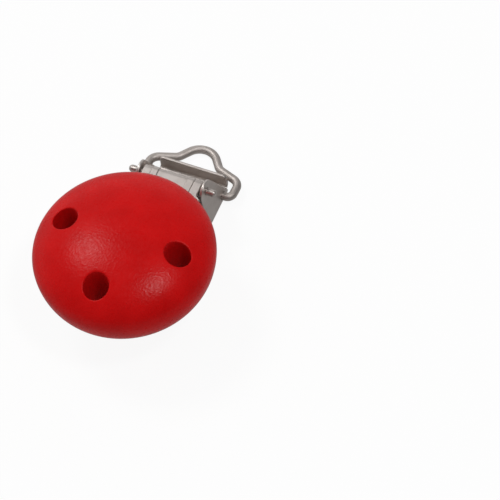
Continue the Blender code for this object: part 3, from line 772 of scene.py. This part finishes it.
def fold(bm, edges, centre, axis, angle):
    """Bends the sheet on from some of its edges, and returns the edges at the bend's end."""
    steps = math.ceil(abs(angle) / FINE_STEP)
    verts = list(dict.fromkeys(v for e in edges for v in e.verts))
    done = bmesh.ops.spin(bm, geom=verts + edges, cent=centre, axis=axis, angle=angle, steps=steps)
    return [g for g in done["geom_last"] if isinstance(g, bmesh.types.BMEdge)]


def make_base(material):
    """One stamping: the floor, the toothed lip, two side plates, the rear flange and two tail hooks."""
    bend = BEND_RADIUS + SHEET / 2
    middle = BASE_LOW.z + SHEET / 2
    bend_z = middle + bend
    side_z = middle + bend * (1 + math.sin(SIDE_LEAN))

    def side_x(z):
        at_pin = LEVER_NECK_HALF + LEVER_SIDE_GAP + SHEET / 2
        return at_pin + (HINGE.z - z) * math.tan(SIDE_LEAN)

    floor_half = side_x(side_z) - bend * math.cos(SIDE_LEAN)
    lip_y = BASE_LOW.y + SHEET / 2 + bend
    flange_bend = FLANGE_BEND_RADIUS + SHEET / 2
    flange_y = BASE_HIGH.y - SHEET / 2
    flange_foot = flange_y - flange_bend
    side_front, side_rear = HINGE.y - SIDE_FRONT, HINGE.y + SIDE_REAR
    right = [(floor_half, side_front), (floor_half, side_rear), (FLANGE_HALF, flange_foot)]
    count = 2 * LIP_TEETH + 1
    front = [(-floor_half + 2 * floor_half * i / (count - 1), lip_y) for i in range(count)]
    outline = front + right + [(-x, y) for x, y in reversed(right)]
    bm = bmesh.new()
    verts = [bm.verts.new((x, y, middle)) for x, y in outline]
    bm.faces.new(verts)

    lip_edges = [bm.edges.get(pair) for pair in zip(verts[:count], verts[1:count])]
    bent = fold(bm, lip_edges, (0, lip_y, bend_z), (1, 0, 0), -math.pi / 2)
    top = next_ring(bm, bent, lambda p: Vector((p.x, p.y, LIP_HEIGHT)))
    along_lip = sorted({v for e in top for v in e.verts}, key=lambda v: v.co.x)
    for vert in along_lip[::2]:
        vert.co.z -= LIP_TOOTH_DEPTH

    rear = [v for v in verts if near(v.co.y, flange_foot)]
    flange_centre = (0, flange_foot, middle + flange_bend)
    bent = fold(bm, [bm.edges.get(rear)], flange_centre, (1, 0, 0), math.pi / 2)
    foot = sorted(bent[0].verts, key=lambda v: v.co.x)
    corner = (FLANGE_HALF - FLANGE_CORNER_RADIUS, FLANGE_HEIGHT - FLANGE_CORNER_RADIUS)
    shoulder = arc(corner, FLANGE_CORNER_RADIUS, 0, math.pi / 2)
    rim = shoulder + [(-x, z) for x, z in reversed(shoulder)]
    bm.faces.new(foot + [bm.verts.new((x, flange_y, z)) for x, z in rim])

    # Each side plate tapers from its foot to a round top: both its edges touch that round
    pin = HINGE.yz
    edge_ends = []
    for foot_y, turn in ((side_rear, 1), (side_front, -1)):
        reach = pin - Vector((foot_y, side_z))
        edge = math.atan2(reach.y, reach.x) - turn * math.asin(EAR_RADIUS / reach.length)
        edge_ends.append(edge - turn * math.pi / 2)
    round_top = arc(pin, EAR_RADIUS, *edge_ends)
    for side in (-1, 1):
        foot = [v for v in verts if near(v.co.x, side * floor_half)]
        foot = [v for v in foot if near(v.co.y, side_front) or near(v.co.y, side_rear)]
        side_centre = (side * floor_half, 0, bend_z)
        bent = fold(bm, [bm.edges.get(foot)], side_centre, (0, -side, 0), math.pi / 2 + SIDE_LEAN)
        front_foot, rear_foot = sorted(bent[0].verts, key=lambda v: v.co.y)
        cap = [bm.verts.new((side * side_x(z), y, z)) for y, z in round_top]
        bm.faces.new([front_foot, rear_foot, *cap])

    bmesh.ops.recalc_face_normals(bm, faces=bm.faces)
    piece = add_piece("folded_base", bm, material)

    # The hooks are lanced from the floor, and leave a window each
    hook_y = TAIL_END.y + HOOK_GAP + SHEET / 2
    hook_z = TAIL_END.z + TONGUE_SHEET + HOOK_GAP + SHEET / 2
    inside, outside = HOOK_BEND_RADIUS, HOOK_BEND_RADIUS + SHEET
    bend_y, bend_top = hook_y - SHEET / 2 - inside, hook_z - SHEET / 2 - inside
    tip = TAIL_END.y - HOOK_REACH
    hook = [(hook_y - SHEET / 2, middle), (hook_y + SHEET / 2, middle)]
    hook += arc((bend_y, bend_top), outside, 0, math.pi / 2)
    hook += [(tip, bend_top + outside), (tip, bend_top + inside)]
    hook += arc((bend_y, bend_top), inside, math.pi / 2, 0)
    hooks = bmesh.new()
    windows = bmesh.new()
    holes = bmesh.new()
    for side in (-1, 1):
        left = side * HOOK_SPACING / 2 - HOOK_WIDTH / 2
        add_plate(hooks, [(left, y, z) for y, z in hook], (HOOK_WIDTH, 0, 0))
        low = (left - SEAT_GAP, hook_y - HOOK_WINDOW, -SEAT_GAP)
        high = (left + HOOK_WIDTH + SEAT_GAP, hook_y - SEAT_GAP, SHEET + SEAT_GAP)
        add_box(windows, low, high)
    for spot, radius in ((HINGE, PIN_HOLE_RADIUS), (LOOP_AXIS, WIRE_HOLE_RADIUS)):
        add_rod(holes, radius, spot, BASE_HIGH.x + SHEET)
    joined = [add_tool("tail_hooks", hooks, EDGE_ROUND)]
    cut = [add_tool("hook_windows", windows), add_tool("side_holes", holes)]
    finish_sheet(piece, SHEET, joined, cut)
    stands_for(piece, "base_plate", "base")


def make_tongue(material):
    """The spring leaf: a turned-down lip, a flat back, a riser, and a tail that the hooks hold."""
    half = (TONGUE_HIGH.x - TONGUE_LOW.x) / 2
    back_z = TONGUE_HIGH.z - TONGUE_SHEET / 2
    tail_z = TAIL_END.z + TONGUE_SHEET / 2
    lip_y = TONGUE_LOW.y + TONGUE_SHEET / 2
    knee_y = TAIL_END.y - TONGUE_TAIL_LENGTH
    top_y = knee_y - (back_z - tail_z) / math.tan(TONGUE_RISER_ANGLE)
    path = rounded_path(
        [
            (lip_y, TONGUE_LIP_HEIGHT, 0),
            (lip_y, back_z, TONGUE_BEND_RADIUS),
            (top_y, back_z, TONGUE_BEND_RADIUS),
            (knee_y, tail_z, TONGUE_BEND_RADIUS),
            (TAIL_END.y, tail_z, 0),
        ]
    )
    bm = strip(path, (-half, 0.0, half), lambda j, x: Vector((x, *path[j])))
    bmesh.ops.recalc_face_normals(bm, faces=bm.faces)
    piece = add_piece("spring_leaf", bm, material)
    finish_sheet(piece, TONGUE_SHEET)
    stands_for(piece, "spring_tongue", "jaw")


def make_insert(material):
    """The moulded gripper on the leaf's lip, with a toothed sole."""
    half = (INSERT_HIGH.x - INSERT_LOW.x) / 2
    pitch = 2 * half / INSERT_TEETH
    sole = [(-half, INSERT_LOW.z)]
    for i in range(INSERT_TEETH):
        if i:
            sole.append((-half + i * pitch, INSERT_LOW.z + INSERT_TOOTH_DEPTH))
        for end in (1 - INSERT_TOOTH_FLAT, 1 + INSERT_TOOTH_FLAT):
            sole.append((-half + (i + end / 2) * pitch, INSERT_LOW.z))
    sole.append((half, INSERT_LOW.z))
    outline = sole + [(half, INSERT_HIGH.z), (-half, INSERT_HIGH.z)]
    bm = bmesh.new()
    depth = (0, INSERT_HIGH.y - INSERT_LOW.y, 0)
    add_plate(bm, [(x, INSERT_LOW.y, z) for x, z in outline], depth)
    bmesh.ops.recalc_face_normals(bm, faces=bm.faces)
    piece = add_piece("gripping_insert", bm, material)

    slot = bmesh.new()
    lip = Vector((TONGUE_HIGH.x + SEAT_GAP, TONGUE_SHEET / 2 + SEAT_GAP, 0))
    middle = Vector((0, (INSERT_LOW.y + INSERT_HIGH.y) / 2, 0))
    low = middle - lip + Vector((0, 0, TONGUE_LIP_HEIGHT - SEAT_GAP))
    add_box(slot, low, middle + lip + Vector((0, 0, TONGUE_HIGH.z)))
    lip_slot = add_tool("lip_slot", slot)
    combine(piece, lip_slot, "DIFFERENCE")
    round_edges(piece, INSERT_EDGE_ROUND, SHARP_ANGLE)
    settle_faces(piece)
    bpy.data.meshes.remove(lip_slot.data)
    stands_for(piece, "jaw_insert", "jaw")


def make_loop(material):
    """The bent wire: ends in the side plates, rounded shoulders, and an arch for the strap."""
    radius = WIRE_DIAMETER / 2
    leg_x = LOOP_HIGH.x - radius
    reach = ARCH_FOOT + ARCH_HEIGHT
    slope = math.asin((LOOP_AXIS.z - radius - TABLE_GAP) / reach)
    apex = reach - ARCH_RADIUS + ARCH_RADIUS / math.cos(ARCH_SIDE_ANGLE)
    foot_x = (apex - ARCH_FOOT) / math.tan(ARCH_SIDE_ANGLE)
    half = [
        (WIRE_END_X, 0, 0),
        (leg_x, 0, LOOP_CORNER_RADIUS),
        (leg_x, ARCH_FOOT - LOOP_SHOULDER_FALL, LOOP_SHOULDER_RADIUS),
        (foot_x, ARCH_FOOT, ARCH_FOOT_RADIUS),
    ]
    path = rounded_path(half + [(0, apex, ARCH_RADIUS)] + [(-x, s, r) for x, s, r in reversed(half)])
    curve = bpy.data.curves.new("bent_wire", "CURVE")
    curve.dimensions = "3D"
    curve.bevel_depth = radius
    curve.bevel_resolution = WIRE_RESOLUTION
    curve.use_fill_caps = True
    spline = curve.splines.new("POLY")
    spline.points.add(len(path) - 1)
    tilt = Matrix.Translation(LOOP_AXIS) @ Matrix.Rotation(-slope, 4, "X")
    for point, (x, along) in zip(spline.points, path):
        point.co = (*(tilt @ Vector((x, along, 0))), 1.0)
    guide = add_object("bent_wire_guide", curve)
    graph = bpy.context.evaluated_depsgraph_get()
    swept = bpy.data.meshes.new_from_object(guide.evaluated_get(graph))
    bpy.data.curves.remove(curve)
    bm = bmesh.new()
    bm.from_mesh(swept)
    bpy.data.meshes.remove(swept)
    bmesh.ops.remove_doubles(bm, verts=bm.verts, dist=SAME_PLACE)
    bmesh.ops.recalc_face_normals(bm, faces=bm.faces)
    piece = add_piece("bent_wire_loop", bm, material)
    piece.data.set_sharp_from_angle(angle=SHARP_ANGLE)
    stands_for(piece, "wire_loop", "loop")


def make_floor():
    """A white table: it takes the shadow from above, and is clear from below."""
    material = bpy.data.materials.new("white_table")
    material.use_nodes = True
    tree = material.node_tree
    path = add_node(tree, "ShaderNodeLightPath")
    side = add_node(tree, "ShaderNodeNewGeometry")
    shader = tree.nodes["Principled BSDF"]
    shader.inputs["Base Color"].default_value = srgb("#EBEBEB")
    shader.inputs["Roughness"].default_value = 0.9
    shader.inputs["Specular IOR Level"].default_value = 0.0
    seen = add_node(
        tree, "ShaderNodeMix", {"Factor": path.outputs["Is Camera Ray"], "A": MIRRORED_WHITE, "B": 1.0}
    )
    white = add_node(
        tree, "ShaderNodeEmission", {"Color": srgb("#FFFFFF"), "Strength": seen.outputs["Result"]}
    )
    mirrored = path.outputs["Is Glossy Ray"]
    lift = add_node(tree, "ShaderNodeMath", {0: mirrored, 1: MIRRORED_LIFT}, operation="MULTIPLY")
    lift = add_node(
        tree,
        "ShaderNodeMath",
        {0: path.outputs["Is Camera Ray"], 1: FLOOR_LIFT, 2: lift.outputs["Value"]},
        operation="MULTIPLY_ADD",
    )
    lifted = add_node(
        tree,
        "ShaderNodeMixShader",
        {0: lift.outputs["Value"], 1: shader.outputs["BSDF"], 2: white.outputs["Emission"]},
    )
    clear = add_node(tree, "ShaderNodeBsdfTransparent")
    both = add_node(
        tree,
        "ShaderNodeMixShader",
        {0: side.outputs["Backfacing"], 1: lifted.outputs["Shader"], 2: clear.outputs["BSDF"]},
    )
    tree.links.new(both.outputs["Shader"], tree.nodes["Material Output"].inputs["Surface"])
    bm = bmesh.new()
    bmesh.ops.create_grid(bm, x_segments=1, y_segments=1, size=FLOOR_SIZE / 2)
    floor = add_piece("table", bm, material)


def make_world():
    """A white sweep behind the table; reflections see it too, and a dark room over and before it."""
    world = bpy.data.worlds.new("studio")
    bpy.context.scene.world = world
    world.use_nodes = True
    tree = world.node_tree
    path = add_node(tree, "ShaderNodeLightPath")
    towards = add_node(tree, "ShaderNodeTexCoord").outputs["Generated"]
    height = add_node(tree, "ShaderNodeSeparateXYZ", {"Vector": towards}).outputs["Z"]
    facing = add_node(
        tree, "ShaderNodeVectorMath", {0: towards, 1: SWEEP_DIRECTION}, operation="DOT_PRODUCT"
    )
    sky = add_node(
        tree,
        "ShaderNodeMath",
        {0: facing.outputs["Value"], 1: SKY_SLANT, 2: SKY_LEVEL},
        operation="MULTIPLY_ADD",
    )
    behind = add_node(
        tree,
        "ShaderNodeMapRange",
        {
            "Value": facing.outputs["Value"],
            "From Min": SWEEP_TURNS[0],
            "From Max": SWEEP_TURNS[1],
            "To Min": DARK_ROOM,
            "To Max": 1.0,
        },
    )
    over = add_node(
        tree,
        "ShaderNodeMapRange",
        {
            "Value": height,
            "From Min": SWEEP_HEIGHTS[0],
            "From Max": SWEEP_HEIGHTS[1],
            "To Min": 1.0,
            "To Max": DARK_ROOM,
        },
    )
    sweep = add_node(
        tree,
        "ShaderNodeMath",
        {0: behind.outputs["Result"], 1: over.outputs["Result"]},
        operation="MULTIPLY",
    )
    level = add_node(
        tree,
        "ShaderNodeMix",
        {"Factor": path.outputs["Is Glossy Ray"], "A": sky.outputs["Value"], "B": sweep.outputs["Value"]},
    )
    level = add_node(
        tree,
        "ShaderNodeMix",
        {"Factor": path.outputs["Is Camera Ray"], "A": level.outputs["Result"], "B": 1.0},
    )
    background = tree.nodes["Background"]
    background.inputs["Color"].default_value = srgb("#FFFFFF")
    tree.links.new(level.outputs["Result"], background.inputs["Strength"])


def add_lamp(name, direction, size, watts):
    """A round soft box that looks at the button."""
    lamp = bpy.data.lights.new(name, "AREA")
    lamp.shape = "DISK"
    lamp.size = size
    lamp.energy = watts
    holder = add_object(name, lamp)
    away = Vector(direction).normalized()
    holder.location = BUTTON_CENTRE + away * LAMP_DISTANCE
    holder.rotation_euler = away.to_track_quat("Z", "Y").to_euler()


def add_camera():
    lens = bpy.data.cameras.new("camera")
    lens.lens = CAMERA_LENS
    lens.sensor_width = CAMERA_SENSOR
    lens.clip_start = CAMERA_CLIP
    camera = add_object("camera", lens)
    camera.location = BUTTON_CENTRE + CAMERA_FROM_BUTTON
    camera.rotation_euler = Euler([math.radians(a) for a in CAMERA_TURN])
    bpy.context.scene.camera = camera


sheet_nickel = plated_steel("nickel_plated_sheet_steel", "#D2CAC5", "#C6BDB7", SHEET_ROUGHNESS, ROLLED)
wire_nickel = plated_steel("nickel_plated_drawn_wire", "#CAC2BD", "#BEB6B0", WIRE_ROUGHNESS, DRAWN)
spring_nickel = plated_steel("nickel_plated_spring_steel", "#BDB5AF", "#B0A8A2", SPRING_ROUGHNESS, ROLLED)
zinc = plated_steel("zinc_plated_wire_nail", "#B4B5B6", "#9FA1A3", ZINC_ROUGHNESS, DRAWN)

make_button(satin_red_lacquer(), lacquer_in_bores())
make_lever(sheet_nickel)
make_nails(zinc)
make_pin(sheet_nickel)
make_base(sheet_nickel)
make_tongue(spring_nickel)
make_insert(natural_nylon())
make_loop(wire_nickel)

make_floor()
make_world()
add_lamp("key", KEY_DIRECTION, KEY_SIZE, KEY_WATTS)
add_lamp("fill", FILL_DIRECTION, FILL_SIZE, FILL_WATTS)
add_camera()
bpy.context.scene.view_settings.view_transform = "Standard"
